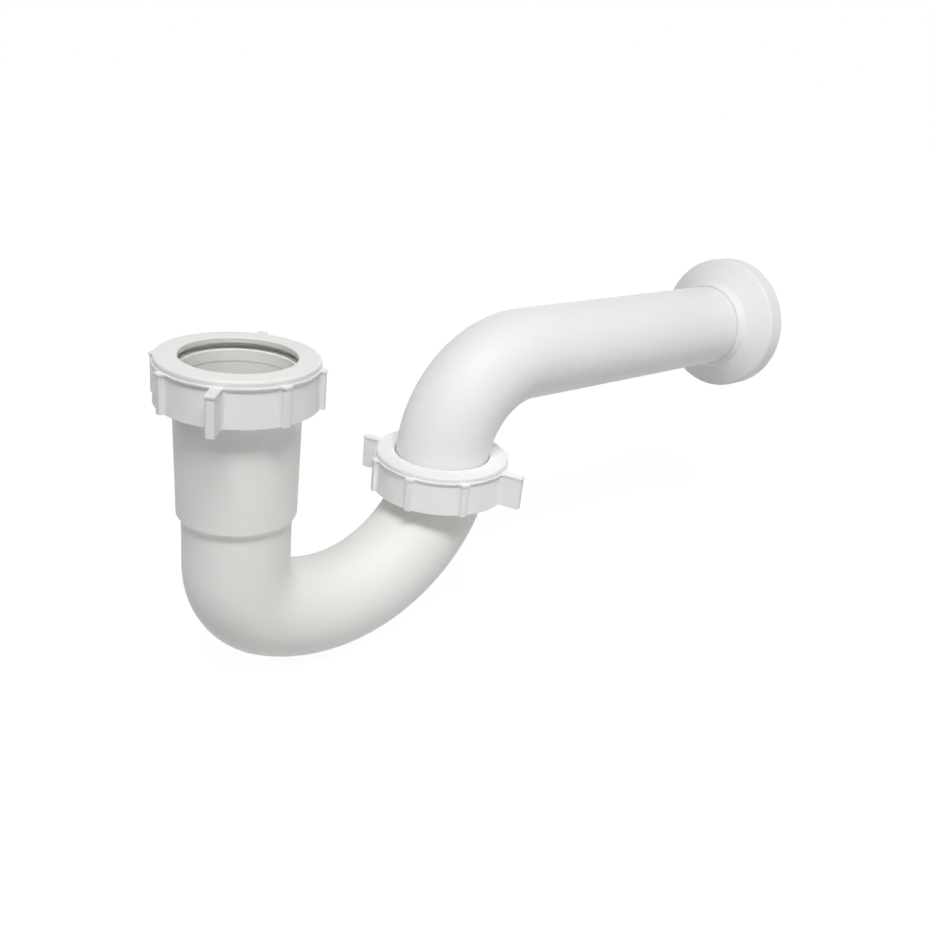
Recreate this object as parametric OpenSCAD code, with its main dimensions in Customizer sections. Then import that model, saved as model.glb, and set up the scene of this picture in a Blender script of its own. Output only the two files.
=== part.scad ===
// Tubular sink trap: a one-piece U bend with a slip socket, a wall tube with
// its elbow, two wing nuts, their taper washers and a sliding wall flange.
// The origin is the centre of the slip bore's upper edge, just under the washer seat.
// +Z is up, along the inlet, and +X points to the wall.

/* [Tube] */
// Outside diameter of the bend and of the wall tube
tube_od = 38.1; // [32:0.1:44]
// Wall of the bend and of the wall tube
tube_wall = 1.8; // [1.2:0.1:2.4]

/* [Bend] */
// Centre-line radius of the tight turn under the inlet
heel_r = 24.5; // [23:0.5:34]
// Angle of the tight turn
heel_angle = 63; // [45:1:80]
// Centre-line radius of the long sweep
sweep_r = 57.5; // [48:0.5:80]
// Centre-line radius of the last turn before the outlet
rise_r = 26; // [24:0.5:60]
// Angle of the last turn
rise_angle = 30; // [15:1:60]
// Straight tube between the inlet shoulder and the tight turn
leg_len = 19.2; // [8:0.1:60]

/* [Inlet socket] */
// Depth of the straight bore that takes the tailpiece
socket_depth = 46.5; // [36:0.5:70]
// Radial play between a tube and the socket that takes it
slip_gap = 0.3; // [0.15:0.05:0.5]
// Wall of the inlet socket at its lower end
socket_wall = 1.4; // [1.2:0.1:2]
// Radius that the outside of the inlet socket gains towards its mouth
socket_taper = 0.7; // [0:0.1:0.9]
// Height of the sloping shoulder under the inlet socket
shoulder_h = 2.4; // [1.2:0.1:4]

/* [Outlet socket] */
// Depth of the straight bore that takes the wall tube
outlet_depth = 6.1; // [4:0.1:10]
// Space between the end of the wall tube and the floor of the outlet bore
end_gap = 0.3; // [0.1:0.1:1]
// Thickness of the step under the outlet bore
outlet_floor = 1; // [0.8:0.1:2]
// Height of the sloping shoulder under the outlet threads
outlet_shoulder_h = 1.3; // [0.8:0.1:2]

/* [Threads] */
// Wall of a mouth between its slip bore and the roots of its threads
mouth_wall = 2.55; // [2.3:0.05:3.4]
// Depth of the male threads
thread_depth = 1.3; // [0.8:0.1:1.6]
// Length of the male threads from the mouth
thread_len = 8.5; // [7:0.5:9]
// Radial play between a nut and its male thread
thread_gap = 0.08; // [0.04:0.01:0.1]
// Bevel at each end of a thread
thread_bevel = 0.8; // [0.4:0.1:1.2]

/* [Taper washer] */
// Depth of the cone that seats in a mouth
seat_depth = 2.4; // [1.6:0.1:2.6]
// Thickness of the rim that lies on a mouth
rim_h = 1.6; // [1:0.1:2.4]
// Width of the rim's seat on the mouth
rim_seat = 0.8; // [0.6:0.1:1]
// Radial play between a washer and the tube in it
washer_gap = 0.15; // [0.1:0.05:0.25]
// Space between a washer's cone and its seat
cone_gap = 0.1; // [0.05:0.05:0.2]

/* [Wing nut] */
// Height of a nut
nut_h = 15.7; // [13:0.1:20]
// Wall between a nut's thread and the upper end of its skirt
nut_wall = 3.42; // [2.6:0.02:5]
// Radius that the skirt gains towards its lower end
skirt_flare = 0.8; // [0:0.1:1.2]
// Height of the round cap above the brim
cap_h = 2.2; // [1.4:0.1:3]
// How far the round cap stands out over the upper end of the skirt
cap_over = 0.4; // [0.2:0.1:1]
// Radius of the cap's rounded edge
cap_round = 1; // [0.4:0.1:1.3]
// Thickness of the brim between the cap and the skirt
brim_t = 0.6; // [0.4:0.1:1.2]
// How far the brim stands out over the cap
brim_over = 0.4; // [0.2:0.1:0.8]
// Thickness of the plate round the hole
plate_h = 1.9; // [1.4:0.1:2.7]
// Radial play between the hole of a nut and the tube in it
hole_gap = 0.45; // [0.3:0.05:0.8]
// Bevel on the edges of the hole
hole_bevel = 0.3; // [0.1:0.1:0.6]
// Number of fins round a nut: two of them are wings and the others are ribs
fin_count = 8; // [6:2:10]
// How far a rib stands out of the upper end of the skirt
rib_len = 2.4; // [1.6:0.1:4]
// Width of a rib
rib_w = 2.8; // [2:0.1:4]
// Radius of the fillets at the root of a rib
rib_fillet = 1.3; // [0.6:0.1:1.6]
// How far a wing stands out of the upper end of the skirt
wing_len = 9.3; // [6:0.1:14]
// Width of a wing
wing_w = 3; // [2.2:0.1:4]
// Radius of the fillets at the root of a wing
wing_fillet = 3; // [1.5:0.1:4]
// How far the brim stands out over the ribs and the wings
fin_brim = 0.3; // [0.1:0.1:0.5]
// How far the inlet nut is backed off its washer
inlet_nut_gap = 2.6; // [0.1:0.1:3]
// How far the outlet nut is backed off its washer
outlet_nut_gap = 0.1; // [0.1:0.1:0.5]
// Direction of the inlet nut's wings
inlet_nut_turn = -132; // [-180:1:180]
// Direction of the outlet nut's wings
outlet_nut_turn = -65; // [-180:1:180]

/* [Wall tube] */
// Centre-line radius of the elbow
elbow_r = 39.3; // [34:0.1:60]
// Height of the start of the elbow above the outlet's mouth
elbow_rise = 1.1; // [0.8:0.1:20]
// Straight tube from the elbow to the wall end
wall_run = 157.5; // [90:0.5:300]
// Bevel on the wall end
end_bevel = 0.5; // [0.2:0.1:0.8]

/* [Wall flange] */
// Width of the flange from its collar to its rim
flange_w = 10.5; // [8:0.1:14]
// Height of the upper edge of the sloping face
face_h = 14.4; // [13:0.1:20]
// Slope of the face
face_slope = 29; // [15:1:36]
// Radius of the rounding between the face and the rim
flange_round = 2; // [0.5:0.1:3]
// Wall of the flange
flange_wall = 1.8; // [1.2:0.1:2.4]
// Width of the sloping collar round the tube
collar_w = 2; // [1.2:0.1:4]
// Height of the sloping collar
collar_h = 3.5; // [1:0.1:6]
// Radial play between the flange and the tube
flange_gap = 0.2; // [0.1:0.05:0.5]
// Tube that stands out behind the flange
tube_behind = 12.5; // [4:0.5:40]

/* [Hidden] */
$fn = 96;
cut_over = 1;

tube_r = tube_od / 2;
bore_r = tube_r - tube_wall;
slip_r = tube_r + slip_gap;
root_r = slip_r + mouth_wall;
thread_r = root_r + thread_depth;
socket_low_r = slip_r + socket_wall;
seat_r = thread_r - thread_bevel - rim_seat;
rim_r = thread_r - thread_bevel;
female_r = thread_r + thread_gap;
skirt_r = female_r + nut_wall;
cap_r = skirt_r + cap_over;
brim_r = cap_r + brim_over;

// A turn is [centre x, centre z, radius, start angle, angle], with angles measured from
// +X towards +Z round its centre. Each turn leaves the one before it at a tangent.
function next_turn(turn, r, angle) = [
    turn[0] + (turn[2] - r) * cos(turn[3] + turn[4]),
    turn[1] + (turn[2] - r) * sin(turn[3] + turn[4]),
    r, turn[3] + turn[4], angle
];
shoulder_z = -socket_depth - socket_wall;
leg_top_z = shoulder_z - shoulder_h;
heel_z = leg_top_z - leg_len;
heel = [heel_r, heel_z, heel_r, 180, heel_angle];
sweep = next_turn(heel, sweep_r, 180 - heel_angle - rise_angle);
rise = next_turn(sweep, rise_r, rise_angle);

mouth_z = seat_depth;
outlet = [rise[0] + rise_r, 0, rise[1] + outlet_depth + seat_depth];
tail_len = outlet_depth + seat_depth - end_gap;
wall_axis_h = elbow_rise + elbow_r;
flange_back = elbow_r + wall_run - tube_behind;
flange_hole_r = tube_r + flange_gap;
collar_r = flange_hole_r + collar_w;
flange_r = collar_r + flange_w;

PLASTIC = [0.93, 0.93, 0.91];
SEAL = [0.97, 0.96, 0.92];

// Straight round bar of radius r between two heights.
module bar(r, low_z, high_z) {
    translate([0, 0, low_z])
        cylinder(r = r, h = high_z - low_z);
}

// Cone between two heights.
module taper(low_r, high_r, low_z, high_z) {
    translate([0, 0, low_z])
        cylinder(r1 = low_r, r2 = high_r, h = high_z - low_z);
}

// Moves first by whole thousandths of a millimetre and then by the rest, which keeps
// every digit of a worked-out place, so that turns meet exactly.
module place(to) {
    rough = [for (along = to) round(along * 1000) / 1000];
    translate(rough)
        translate(to - rough)
            children();
}

module at_inlet_mouth() {
    translate([0, 0, mouth_z])
        children();
}

module at_outlet_mouth() {
    place(outlet)
        children();
}

// Round bar of radius r along one turn in the XZ plane.
module turned_bar(turn, r) {
    place([turn[0], 0, turn[1]])
        rotate([90, 0, 0])
            rotate_extrude(start = turn[3], angle = turn[4])
                translate([turn[2], 0])
                    circle(r);
}

// Threaded end whose mouth lies at z = 0, with its crests as one plain cylinder.
module male_thread() {
    bar(thread_r, thread_bevel - thread_len, -thread_bevel);
    taper(thread_r, rim_r, -thread_bevel, 0);
    taper(root_r, thread_r, -thread_len, thread_bevel - thread_len);
}

// Slip bore with its washer seat, cut down from a mouth at z = 0.
module slip_bore(depth) {
    bar(slip_r, -seat_depth - depth, cut_over);
    taper(slip_r, seat_r, -seat_depth, 0);
}

// Outside of the outlet's threaded end, with its mouth at z = 0.
module outlet_end() {
    collar_z = -seat_depth - outlet_depth - outlet_floor;
    male_thread();
    bar(root_r, collar_z, -thread_bevel);
    taper(tube_r, root_r, collar_z - outlet_shoulder_h, collar_z);
}

// Outside of the inlet: threaded end, tapering socket, shoulder and leg.
module inlet_end() {
    at_inlet_mouth()
        male_thread();
    taper(socket_low_r, socket_low_r + socket_taper, shoulder_z, mouth_z - thread_len);
    bar(socket_low_r, shoulder_z, mouth_z - thread_bevel);
    taper(tube_r, socket_low_r, leg_top_z, shoulder_z);
    bar(tube_r, heel_z, leg_top_z);
}

module trap_bend() {
    turns = [heel, sweep, rise];
    color(PLASTIC)
        difference() {
            union() {
                inlet_end();
                for (turn = turns)
                    turned_bar(turn, tube_r);
                at_outlet_mouth()
                    outlet_end();
            }
            at_inlet_mouth()
                slip_bore(socket_depth);
            bar(bore_r, heel_z, cut_over);
            for (turn = turns)
                turned_bar(turn, bore_r);
            at_outlet_mouth() {
                slip_bore(outlet_depth);
                bar(bore_r, -seat_depth - outlet_depth, cut_over);
            }
        }
}

// Taper washer whose rim lies on a mouth at z = 0.
module taper_washer() {
    cone_r = seat_r - cone_gap;
    difference() {
        union() {
            bar(rim_r, 0, rim_h);
            taper(cone_r - seat_depth + cone_gap, cone_r, cone_gap - seat_depth, 0);
        }
        bar(tube_r + washer_gap, -seat_depth - cut_over, rim_h + cut_over);
    }
}

module inlet_washer() {
    color(SEAL)
        at_inlet_mouth()
            taper_washer();
}

module outlet_washer() {
    color(SEAL)
        at_outlet_mouth()
            taper_washer();
}

// Outline of one fin with rounded corners and filleted roots, for a brim or, with
// grow = 0, for what is under it.
module fin_outline(len, width, fillet, grow) {
    reach = skirt_r + len + grow;
    tip_r = width / 4;
    half_w = width / 2 + grow;
    translate([thread_r + 1, -half_w])
        square([reach - tip_r - thread_r - 1, 2 * half_w]);
    translate([thread_r + 1, tip_r - half_w])
        square([reach - thread_r - 1, 2 * (half_w - tip_r)]);
    for (side = [-1, 1])
        translate([reach - tip_r, side * (half_w - tip_r)])
            circle(tip_r);
    fillet_x = skirt_r + skirt_flare + fillet / 2 + grow;
    fillet_y = half_w + fillet;
    difference() {
        translate([thread_r + 1, -fillet_y])
            square([fillet_x - thread_r - 1, 2 * fillet_y]);
        for (side = [-1, 1])
            translate([fillet_x, side * fillet_y])
                circle(fillet);
    }
}

// Outlines of all the ribs and wings.
module fins_outline(grow) {
    for (i = [0 : fin_count - 1])
        rotate(i * 360 / fin_count)
            if (i % (fin_count / 2) == 0)
                fin_outline(wing_len, wing_w, wing_fillet, grow);
            else
                fin_outline(rib_len, rib_w, rib_fillet, grow);
}

// Round cap with its rounded upper edge, under z = 0.
module nut_cap() {
    rotate_extrude() {
        translate([0, -cap_h])
            square([cap_r, cap_h - cap_round]);
        translate([0, -cap_h])
            square([cap_r - cap_round, cap_h]);
        translate([cap_r - cap_round, -cap_round])
            circle(cap_round);
    }
}

// Wing nut whose top lies at z = 0.
module wing_nut() {
    hole_r = tube_r + hole_gap;
    brim_z = -cap_h - brim_t;
    difference() {
        union() {
            nut_cap();
            bar(brim_r, brim_z, -cap_h);
            translate([0, 0, brim_z])
                linear_extrude(brim_t)
                    fins_outline(fin_brim);
            taper(skirt_r + skirt_flare, skirt_r, -nut_h, brim_z);
            translate([0, 0, -nut_h])
                linear_extrude(nut_h + brim_z)
                    fins_outline(0);
        }
        bar(hole_r, -nut_h, cut_over);
        taper(hole_r, hole_r + hole_bevel, -hole_bevel, 0);
        bar(female_r, -nut_h - cut_over, -plate_h);
        taper(female_r + thread_bevel, female_r, -nut_h, thread_bevel - nut_h);
    }
}

module inlet_nut() {
    color(PLASTIC)
        at_inlet_mouth()
            translate([0, 0, rim_h + inlet_nut_gap + plate_h])
                rotate(inlet_nut_turn)
                    wing_nut();
}

module outlet_nut() {
    color(PLASTIC)
        at_outlet_mouth()
            translate([0, 0, rim_h + outlet_nut_gap + plate_h])
                rotate(outlet_nut_turn)
                    wing_nut();
}

// The wall tube's tail and elbow as a bar of radius r, with the outlet's mouth at z = 0.
module tail_and_elbow(r, over) {
    bar(r, -tail_len - over, elbow_rise);
    turned_bar([elbow_r, elbow_rise, elbow_r, 90, 90], r);
}

module wall_tube() {
    color(PLASTIC)
        at_outlet_mouth()
            difference() {
                union() {
                    tail_and_elbow(tube_r, 0);
                    translate([elbow_r, 0, wall_axis_h])
                        rotate([0, 90, 0]) {
                            bar(tube_r, 0, wall_run - end_bevel);
                            taper(tube_r, tube_r - end_bevel, wall_run - end_bevel, wall_run);
                        }
                }
                tail_and_elbow(bore_r, cut_over);
                translate([elbow_r, 0, wall_axis_h])
                    rotate([0, 90, 0])
                        bar(bore_r, 0, wall_run + cut_over);
            }
}

// Height of the sloping face, or of a surface a wall's thickness under it, at radius r.
function face_z(r, wall) = face_h - (wall + (r - collar_r) * sin(face_slope)) / cos(face_slope);

// Half section of the solid flange: x is the radius and y the distance from the
// building's wall.
module flange_section() {
    round_x = flange_r - flange_round;
    round_y = face_z(round_x, flange_round);
    tangent = flange_round * [sin(face_slope), cos(face_slope)];
    polygon([
        [0, 0], [flange_r, 0], [flange_r, round_y], [round_x, round_y],
        [round_x, round_y] + tangent, [collar_r, face_h], [0, face_h]
    ]);
    translate([round_x, round_y])
        circle(flange_round);
}

// Half section of the space behind the flange.
module flange_hollow() {
    wide_r = flange_r - flange_wall;
    polygon([
        [0, -cut_over], [wide_r, -cut_over],
        [wide_r, face_z(wide_r, flange_wall)], [0, face_z(0, flange_wall)]
    ]);
}

module wall_flange() {
    color(PLASTIC)
        at_outlet_mouth()
            translate([flange_back, 0, wall_axis_h])
                rotate([0, -90, 0])
                    difference() {
                        union() {
                            rotate_extrude()
                                flange_section();
                            taper(collar_r, flange_hole_r, face_h, face_h + collar_h);
                        }
                        rotate_extrude()
                            flange_hollow();
                        bar(flange_hole_r, 0, face_h + collar_h + cut_over);
                    }
}

trap_bend();
inlet_nut();
inlet_washer();
outlet_nut();
outlet_washer();
wall_tube();
wall_flange();
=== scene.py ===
import math

import bpy
from mathutils import Matrix, Vector


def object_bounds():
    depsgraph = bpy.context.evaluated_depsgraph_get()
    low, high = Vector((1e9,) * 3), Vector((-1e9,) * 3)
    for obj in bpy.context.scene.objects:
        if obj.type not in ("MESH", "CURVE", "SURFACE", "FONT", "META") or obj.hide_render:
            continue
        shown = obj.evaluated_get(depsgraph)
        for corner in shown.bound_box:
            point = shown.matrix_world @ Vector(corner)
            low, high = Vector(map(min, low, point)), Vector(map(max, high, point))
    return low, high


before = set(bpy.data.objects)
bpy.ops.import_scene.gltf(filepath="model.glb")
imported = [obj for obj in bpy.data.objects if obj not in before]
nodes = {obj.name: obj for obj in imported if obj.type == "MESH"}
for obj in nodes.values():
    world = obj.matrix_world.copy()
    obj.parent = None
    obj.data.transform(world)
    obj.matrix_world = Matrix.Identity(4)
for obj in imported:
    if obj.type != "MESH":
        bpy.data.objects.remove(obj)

# A tubular sink trap in white moulded plastic, as in the photograph.
# Every shape comes from CAD. The scene adds the materials, a floor, lamps and the camera.
# Lengths are in metres and lamp powers in watts. Angles are in degrees until they are used.

CAD_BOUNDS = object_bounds()


# Nodes that the materials share
def new_material(name):
    """Material with an empty node tree."""
    material = bpy.data.materials.new(name)
    material.use_nodes = True
    tree = material.node_tree
    tree.nodes.clear()
    return material, tree


def noise(tree, coords, scale, detail, rough):
    """Noise pattern at the given coordinates."""
    node = tree.nodes.new("ShaderNodeTexNoise")
    node.inputs["Scale"].default_value = scale
    node.inputs["Detail"].default_value = detail
    node.inputs["Roughness"].default_value = rough
    tree.links.new(coords, node.inputs["Vector"])
    return node.outputs["Fac"]


def ramp(tree, value, edges, colours):
    """Colour that goes from the first of two colours to the second between two edges."""
    node = tree.nodes.new("ShaderNodeValToRGB")
    for element, edge, colour in zip(node.color_ramp.elements, edges, colours):
        element.position = edge
        element.color = (*colour, 1.0)
    tree.links.new(value, node.inputs["Fac"])
    return node.outputs["Color"]


def span(tree, value, edges, results):
    """Number that goes from the first of two results to the second between two edges."""
    node = tree.nodes.new("ShaderNodeMapRange")
    node.inputs["From Min"].default_value, node.inputs["From Max"].default_value = edges
    node.inputs["To Min"].default_value, node.inputs["To Max"].default_value = results
    tree.links.new(value, node.inputs["Value"])
    return node.outputs["Result"]


def bump(tree, height, distance):
    """Bump node that lifts the surface by up to a distance."""
    node = tree.nodes.new("ShaderNodeBump")
    node.inputs["Strength"].default_value = 1.0
    node.inputs["Distance"].default_value = distance
    tree.links.new(height, node.inputs["Height"])
    return node


def grey(level):
    """Opaque grey of a level from 0 to 1."""
    return (level, level, level, 1.0)


# Moulded plastic
CLOUD = {"scale": 22.0, "detail": 3.0, "rough": 0.55}
CLOUD_EDGES = (0.32, 0.68)
PATCHES = {"scale": 75.0, "detail": 4.0, "rough": 0.6}
PATCH_EDGES = (0.3, 0.7)
PEEL = {"scale": 160.0, "detail": 1.0, "rough": 0.5}
PEEL_HEIGHT = 0.00001
GRAIN = {"scale": 2600.0, "detail": 2.0, "rough": 0.6}
SPECULAR = 0.36
PLASTIC_IOR = 1.5


def moulded(name, light, dark, rough, grain_height):
    """White moulded plastic: cloudy colour, uneven gloss, orange peel and fine grain."""
    material, tree = new_material(name)
    out = tree.nodes.new("ShaderNodeOutputMaterial")
    shader = tree.nodes.new("ShaderNodeBsdfPrincipled")
    shader.inputs["Specular IOR Level"].default_value = SPECULAR
    shader.inputs["IOR"].default_value = PLASTIC_IOR
    tree.links.new(shader.outputs["BSDF"], out.inputs["Surface"])
    coords = tree.nodes.new("ShaderNodeTexCoord").outputs["Object"]

    cloud = noise(tree, coords, **CLOUD)
    tree.links.new(ramp(tree, cloud, CLOUD_EDGES, (dark, light)), shader.inputs["Base Color"])

    patches = noise(tree, coords, **PATCHES)
    tree.links.new(span(tree, patches, PATCH_EDGES, rough), shader.inputs["Roughness"])

    peel = bump(tree, noise(tree, coords, **PEEL), PEEL_HEIGHT)
    grain = bump(tree, noise(tree, coords, **GRAIN), grain_height)
    tree.links.new(peel.outputs["Normal"], grain.inputs["Normal"])
    tree.links.new(grain.outputs["Normal"], shader.inputs["Normal"])
    return material


# Materials, each with the lowest and highest roughness of its surface
HARD_ROUGH = (0.50, 0.58)
WASHER_ROUGH = (0.46, 0.58)
TUBE_GRAIN = 0.000001
NUT_GRAIN = 0.000002
WASHER_GRAIN = 0.000003

bend_mat = moulded(
    "moulded_bend",
    light=(0.894, 0.905, 0.878),
    dark=(0.872, 0.89, 0.852),
    rough=HARD_ROUGH,
    grain_height=TUBE_GRAIN,
)
tube_mat = moulded(
    "moulded_tube",
    light=(0.90, 0.905, 0.90),
    dark=(0.88, 0.89, 0.875),
    rough=HARD_ROUGH,
    grain_height=TUBE_GRAIN,
)
flange_mat = moulded(
    "moulded_flange",
    light=(0.92, 0.925, 0.92),
    dark=(0.90, 0.91, 0.895),
    rough=HARD_ROUGH,
    grain_height=TUBE_GRAIN,
)
# The two nuts are one moulding in one plastic: the inlet nut's colour is a shade greyer as painted
# shade, the outlet nut's a shade whiter as painted light
inlet_nut_painted_shade_mat = moulded(
    "moulded_inlet_nut_painted_shade",
    light=(0.845, 0.85, 0.835),
    dark=(0.825, 0.83, 0.81),
    rough=HARD_ROUGH,
    grain_height=NUT_GRAIN,
)
# Outlet nut: colour whiter than the same plastic elsewhere, as painted light
outlet_nut_painted_light_mat = moulded(
    "moulded_outlet_nut_painted_light",
    light=(0.935, 0.932, 0.93),
    dark=(0.915, 0.912, 0.905),
    rough=HARD_ROUGH,
    grain_height=NUT_GRAIN,
)
washer_mat = moulded(
    "soft_washer",
    light=(0.97, 0.965, 0.92),
    dark=(0.95, 0.945, 0.89),
    rough=WASHER_ROUGH,
    grain_height=WASHER_GRAIN,
)

FINISH = {
    "trap_bend": bend_mat,
    "wall_tube": tube_mat,
    "wall_flange": flange_mat,
    "inlet_nut": inlet_nut_painted_shade_mat,
    "outlet_nut": outlet_nut_painted_light_mat,
    "inlet_washer": washer_mat,
    "outlet_washer": washer_mat,
}
for node, material in FINISH.items():
    for slot in nodes[node].material_slots:
        slot.material = material


# Floor and world: white to the camera and to mirrors, and grey or dim as light on the object
def camera_white(tree, plain, white):
    """Shader socket: white for what the camera and mirrors see, plain for the rest."""
    path = tree.nodes.new("ShaderNodeLightPath")
    total = path.outputs["Is Camera Ray"]
    for key in ("Is Glossy Ray", "Is Transmission Ray"):
        add = tree.nodes.new("ShaderNodeMath")
        add.operation = "MAXIMUM"
        tree.links.new(total, add.inputs[0])
        tree.links.new(path.outputs[key], add.inputs[1])
        total = add.outputs["Value"]
    mix = tree.nodes.new("ShaderNodeMixShader")
    tree.links.new(total, mix.inputs["Fac"])
    tree.links.new(plain, mix.inputs[1])
    tree.links.new(white, mix.inputs[2])
    return mix.outputs["Shader"]


FLOOR_SIZE = 8.0
FLOOR_CENTRE = (0.1, 0.0)
# Room between the floor and the lowest point of the object
FLOOR_GAP = 0.0005
# Grey that lights the object from below
FLOOR_GREY = 0.62
# Grey that shows the object's shadow to the camera
SHADOW_GREY = 0.1
# Distances from the middle of the floor between which its glow rises, and the glow at each
GLOW_EDGES = (0.3, 1.1)
GLOW_LEVELS = (0.955, 1.0)


def floor_material():
    """Grey floor that the camera sees as white, with a faint shadow."""
    material, tree = new_material("floor")
    out = tree.nodes.new("ShaderNodeOutputMaterial")
    plain = tree.nodes.new("ShaderNodeBsdfDiffuse")
    plain.inputs["Color"].default_value = grey(FLOOR_GREY)
    lit = tree.nodes.new("ShaderNodeBsdfDiffuse")
    lit.inputs["Color"].default_value = grey(SHADOW_GREY)
    # The glow reaches full white away from the object, so that no horizon shows
    glow = tree.nodes.new("ShaderNodeEmission")
    place = tree.nodes.new("ShaderNodeTexCoord").outputs["Object"]
    reach = tree.nodes.new("ShaderNodeVectorMath")
    reach.operation = "LENGTH"
    tree.links.new(place, reach.inputs[0])
    strength = span(tree, reach.outputs["Value"], GLOW_EDGES, GLOW_LEVELS)
    tree.links.new(strength, glow.inputs["Strength"])
    both = tree.nodes.new("ShaderNodeAddShader")
    tree.links.new(lit.outputs["BSDF"], both.inputs[0])
    tree.links.new(glow.outputs["Emission"], both.inputs[1])
    surface = camera_white(tree, plain.outputs["BSDF"], both.outputs["Shader"])
    tree.links.new(surface, out.inputs["Surface"])
    return material


floor_z = CAD_BOUNDS[0][2] - FLOOR_GAP
bpy.ops.mesh.primitive_plane_add(size=FLOOR_SIZE, location=(*FLOOR_CENTRE, floor_z))
floor = bpy.context.object
floor.name = "floor"
floor.data.materials.append(floor_material())

# Strength of the world as light on the object, and as what the camera sees
WORLD_LIGHT = 0.06
WORLD_SEEN = 1.0


def background(tree, strength):
    """White background of a strength."""
    node = tree.nodes.new("ShaderNodeBackground")
    node.inputs["Color"].default_value = grey(1.0)
    node.inputs["Strength"].default_value = strength
    return node.outputs["Background"]


def studio_world():
    """World that is dim as light and white to the camera."""
    world = bpy.data.worlds.new("studio")
    world.use_nodes = True
    tree = world.node_tree
    tree.nodes.clear()
    out = tree.nodes.new("ShaderNodeOutputWorld")
    surface = camera_white(tree, background(tree, WORLD_LIGHT), background(tree, WORLD_SEEN))
    tree.links.new(surface, out.inputs["Surface"])
    return world


bpy.context.scene.world = studio_world()


# Lamps
CENTRE = Vector((0.13, 0.0, -0.04))
NEAR = 1.2
FAR = 2.2
BROAD = (1.4, 1.4)


def lamp(name, azimuth, height, size, power, away):
    """Lamp that faces CENTRE from an azimuth, counted from +X towards +Y, and a height angle."""
    turn, lift = math.radians(azimuth), math.radians(height)
    ray = Vector((math.cos(lift) * math.cos(turn), math.cos(lift) * math.sin(turn), math.sin(lift)))
    place = CENTRE + away * ray
    data = bpy.data.lights.new(name, "AREA")
    data.shape = "RECTANGLE"
    data.size, data.size_y = size
    data.energy = power
    item = bpy.data.objects.new(name, data)
    bpy.context.scene.collection.objects.link(item)
    item.visible_camera = False
    item.location = place
    item.rotation_euler = (CENTRE - place).to_track_quat("-Z", "Y").to_euler()
    return item


lamp("key", azimuth=-125, height=60, size=(0.6, 0.25), power=10.3, away=NEAR)
lamp("left", azimuth=180, height=45, size=(0.6, 0.3), power=1.3, away=NEAR)
lamp("front", azimuth=-140, height=30, size=BROAD, power=3.0, away=FAR)
lamp("side", azimuth=-60, height=0, size=BROAD, power=10.5, away=FAR)
lamp("right", azimuth=100, height=0, size=BROAD, power=6.0, away=FAR)
# Lights the side away from the camera, and leaves no glare on the caps
behind = lamp("behind", azimuth=35, height=8, size=(2.0, 1.0), power=24.0, away=FAR)
behind.visible_glossy = False


# Camera, fitted to the object's outlines in the photograph
CAMERA_PLACE = (-0.149526, -0.274503, 0.107966)
YAW = 42.973
PITCH = 23.192
ROLL = 6.343
CLIP_START = 0.01
# Width of the photograph and the lens's focal length, both in its pixels
PHOTO_WIDTH = 930.0
FOCAL_LENGTH = 968.906
# Width of the camera's sensor in millimetres
SENSOR_WIDTH = 36.0


def photo_camera():
    """Camera that sees the object as the photograph does."""
    yaw, pitch, roll = (math.radians(angle) for angle in (YAW, PITCH, ROLL))
    forward = Vector(
        (math.sin(yaw) * math.cos(pitch), math.cos(yaw) * math.cos(pitch), -math.sin(pitch))
    )
    level = Vector((math.cos(yaw), -math.sin(yaw), 0.0))
    rise = level.cross(forward)
    right = level * math.cos(roll) + rise * math.sin(roll)
    up = rise * math.cos(roll) - level * math.sin(roll)
    data = bpy.data.cameras.new("camera")
    data.sensor_fit = "HORIZONTAL"
    data.sensor_width = SENSOR_WIDTH
    data.lens = FOCAL_LENGTH * SENSOR_WIDTH / PHOTO_WIDTH
    data.clip_start = CLIP_START
    camera = bpy.data.objects.new("camera", data)
    bpy.context.scene.collection.objects.link(camera)
    turn = Matrix((right, up, -forward)).transposed().to_4x4()
    camera.matrix_world = Matrix.Translation(CAMERA_PLACE) @ turn
    return camera


bpy.context.scene.camera = photo_camera()
bpy.context.scene.view_settings.view_transform = "Standard"
